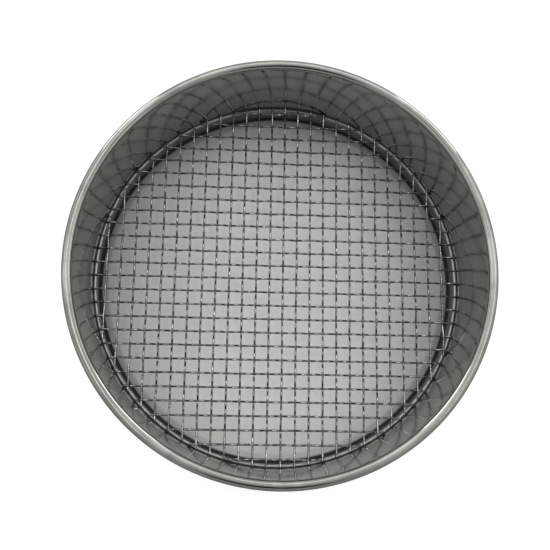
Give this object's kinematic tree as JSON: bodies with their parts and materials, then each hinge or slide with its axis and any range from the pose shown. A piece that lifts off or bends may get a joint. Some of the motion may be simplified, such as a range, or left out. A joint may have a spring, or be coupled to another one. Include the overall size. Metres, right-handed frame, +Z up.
{
  "type": "soil sieve",
  "caption": "Round steel soil sieve: polished drum with rolled rim and foot, an inner seat, and a drop-in woven wire screen that lifts out.",
  "frame": {"origin": "on the drum's axis, in the plane the foot bead stands on", "axes": "+Z up the drum's axis towards the open top; +X along the weft wires, +Y along the warp wires"},
  "size_m": [0.3, 0.3, 0.0836],
  "materials": {
    "polished_steel": "mirror-polished stainless sheet with fine hoop-wise polishing lines",
    "screen_wire": "drawn stainless wire, semi-bright, bright on the crimps"
  },
  "bodies": {
    "frame": {"drum": "polished_steel"},
    "screen": {"warp_wire_01": "screen_wire", "warp_wire_02": "screen_wire", "warp_wire_03": "screen_wire", "warp_wire_04": "screen_wire", "warp_wire_05": "screen_wire", "warp_wire_06": "screen_wire", "warp_wire_07": "screen_wire", "warp_wire_08": "screen_wire", "warp_wire_09": "screen_wire", "warp_wire_10": "screen_wire", "warp_wire_11": "screen_wire", "warp_wire_12": "screen_wire", "warp_wire_13": "screen_wire", "warp_wire_14": "screen_wire", "warp_wire_15": "screen_wire", "warp_wire_16": "screen_wire", "warp_wire_17": "screen_wire", "warp_wire_18": "screen_wire", "warp_wire_19": "screen_wire", "warp_wire_20": "screen_wire", "warp_wire_21": "screen_wire", "warp_wire_22": "screen_wire", "warp_wire_23": "screen_wire", "warp_wire_24": "screen_wire", "warp_wire_25": "screen_wire", "warp_wire_26": "screen_wire", "weft_wire_01": "screen_wire", "weft_wire_02": "screen_wire", "weft_wire_03": "screen_wire", "weft_wire_04": "screen_wire", "weft_wire_05": "screen_wire", "weft_wire_06": "screen_wire", "weft_wire_07": "screen_wire", "weft_wire_08": "screen_wire", "weft_wire_09": "screen_wire", "weft_wire_10": "screen_wire", "weft_wire_11": "screen_wire", "weft_wire_12": "screen_wire", "weft_wire_13": "screen_wire", "weft_wire_14": "screen_wire", "weft_wire_15": "screen_wire", "weft_wire_16": "screen_wire", "weft_wire_17": "screen_wire", "weft_wire_18": "screen_wire", "weft_wire_19": "screen_wire", "weft_wire_20": "screen_wire", "weft_wire_21": "screen_wire", "weft_wire_22": "screen_wire", "weft_wire_23": "screen_wire", "weft_wire_24": "screen_wire", "weft_wire_25": "screen_wire", "weft_wire_26": "screen_wire", "weft_wire_27": "screen_wire"}
  },
  "joints": [
    {"name": "screen_lift", "type": "slide", "parent": "frame", "child": "screen", "axis": [0, 0, 1], "range_m": [0, 0.1]}
  ]
}
